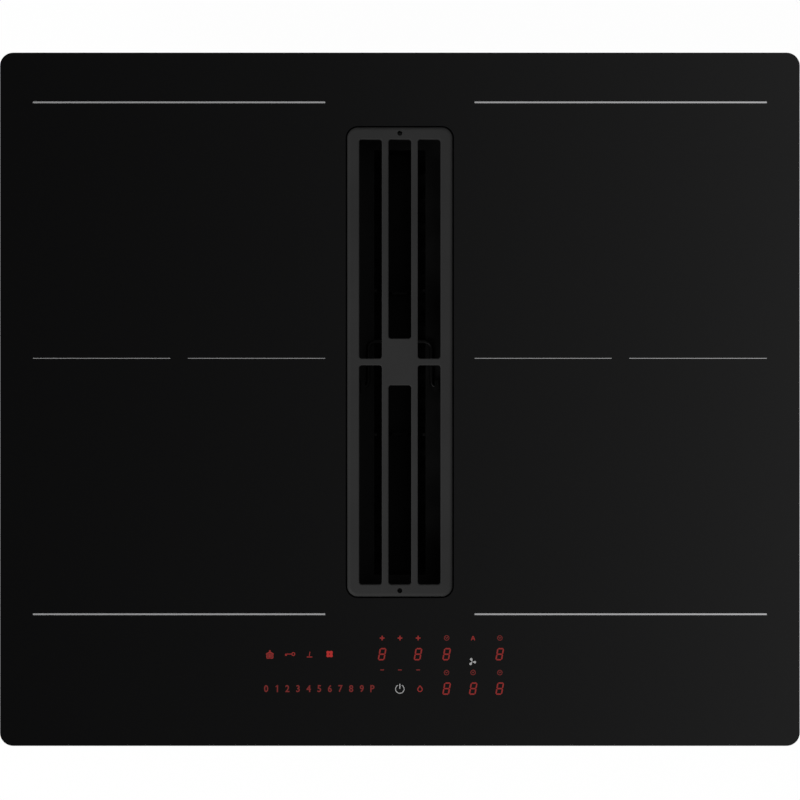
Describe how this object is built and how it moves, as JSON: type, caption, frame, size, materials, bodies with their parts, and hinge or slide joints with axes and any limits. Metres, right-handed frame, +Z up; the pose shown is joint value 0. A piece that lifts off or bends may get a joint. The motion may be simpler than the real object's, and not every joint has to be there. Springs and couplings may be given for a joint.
{
  "type": "downdraft induction cooktop",
  "caption": "Black glass induction cooktop with a long grille down its middle that draws cooking vapour down to a filter, drip tray and under-worktop blower.",
  "frame": {"origin": "under the middle of the glass, at the level of the flat underside of the inlet chamber and blower", "axes": "+X to the user's right, +Y to the back, away from the user, +Z up"},
  "size_m": [0.6, 0.52, 0.211],
  "materials": {
    "black_glass": "polished black glass-ceramic with ground edges and baked-on grey lines",
    "seal_foam": "closed-cell foam strip",
    "galvanised_steel": "galvanised sheet, spangled and slightly dull",
    "spring_steel": "bright spring steel strip",
    "zinc_steel": "zinc-plated steel",
    "bearing_steel": "ground steel",
    "lamination_steel": "stacked laminations, varnished",
    "black_plastic": "fine-grained black moulding",
    "grey_plastic": "dark grey glass-filled moulding",
    "tray_plastic": "smooth dark moulding",
    "white_plastic": "off-white moulding",
    "former_plastic": "heat-resistant cream moulding",
    "display_plastic": "black display module",
    "die_cast_aluminium": "as cast",
    "aluminium_sheet": "mill finish",
    "black_rubber": "matt silicone rubber",
    "copper": "enamelled litz wire",
    "ferrite": "sintered ferrite",
    "ceramic_white": "white ceramic",
    "mica": "pressed mica and ceramic paper",
    "circuit_board": "solder-masked board with dark components",
    "filter_steel": "stainless sheet, black coated",
    "filter_mesh": "folded expanded mesh, black coated",
    "grille_iron": "cast iron with matt dark enamel",
    "grey_print": "baked-on grey ceramic ink",
    "red_print": "red key symbols and digits, lit from under the glass"
  },
  "bodies": {
    "chassis": {"base_pan": "galvanised_steel", "blower_control_box": "black_plastic", "board_tray_left": "white_plastic", "board_tray_right": "white_plastic", "cable_gland": "black_plastic", "carrier_springs": "spring_steel", "coil_carrier_left": "aluminium_sheet", "coil_carrier_right": "aluminium_sheet", "coil_formers": "former_plastic", "coil_left_front": "copper", "coil_left_rear": "copper", "coil_right_front": "copper", "coil_right_rear": "copper", "control_board": "circuit_board", "control_bracket": "white_plastic", "cooling_fan_housing_left": "black_plastic", "cooling_fan_housing_right": "black_plastic", "display_modules": "display_plastic", "ferrite_bars": "ferrite", "glass_top": "black_glass", "heat_sink_left": "aluminium_sheet", "heat_sink_right": "aluminium_sheet", "inlet_chamber": "black_plastic", "inlet_frame": "black_plastic", "inlet_gasket": "seal_foam", "insulation_mats": "mica", "mains_filter_board": "circuit_board", "motor_mount": "die_cast_aluminium", "motor_stator": "lamination_steel", "motor_windings": "copper", "outlet_spigot": "black_plastic", "power_board_left": "circuit_board", "power_board_right": "circuit_board", "suction_plenum": "black_plastic", "supply_board": "circuit_board", "temperature_sensors": "ceramic_white", "terminal_block": "white_plastic", "terminal_cover": "black_plastic", "volute_cover": "black_plastic", "volute_lower": "black_plastic", "worktop_clips": "spring_steel", "worktop_seal": "seal_foam"},
    "drip_tray": {"drip_tray": "tray_plastic"},
    "grease_filter": {"filter_frame": "filter_steel", "filter_mesh_left": "filter_mesh", "filter_mesh_right": "filter_mesh"},
    "filter_handle": {"filter_handle": "filter_steel"},
    "grille": {"grille": "grille_iron", "grille_pads": "black_rubber"},
    "impeller": {"impeller": "grey_plastic", "motor_rotor": "zinc_steel", "motor_shaft": "bearing_steel"},
    "cooling_fan_left": {"cooling_fan_rotor_left": "black_plastic"},
    "cooling_fan_right": {"cooling_fan_rotor_right": "black_plastic"}
  },
  "joints": [
    {"name": "drip_tray_lift", "type": "slide", "parent": "chassis", "child": "drip_tray", "axis": [0, 0, 1], "range_m": [0, 0.22]},
    {"name": "filter_lift", "type": "slide", "parent": "drip_tray", "child": "grease_filter", "axis": [0, 0, 1], "range_m": [0, 0.18]},
    {"name": "grille_lift", "type": "slide", "parent": "grease_filter", "child": "grille", "axis": [0, 0, 1], "range_m": [0, 0.08]},
    {"name": "filter_bail", "type": "hinge", "parent": "grease_filter", "child": "filter_handle", "pos_m": [0, 0.01, 0.156], "axis": [1, 0, 0], "range_deg": [0, 180]},
    {"name": "blower_spin", "type": "hinge", "parent": "chassis", "child": "impeller", "pos_m": [0.146, -0.02, 0.03], "axis": [0, 0, 1], "continuous": true},
    {"name": "left_fan_spin", "type": "hinge", "parent": "chassis", "child": "cooling_fan_left", "pos_m": [-0.216, 0.181, 0.16], "axis": [0, 0, 1], "continuous": true},
    {"name": "right_fan_spin", "type": "hinge", "parent": "chassis", "child": "cooling_fan_right", "pos_m": [0.216, 0.181, 0.16], "axis": [0, 0, 1], "continuous": true}
  ]
}
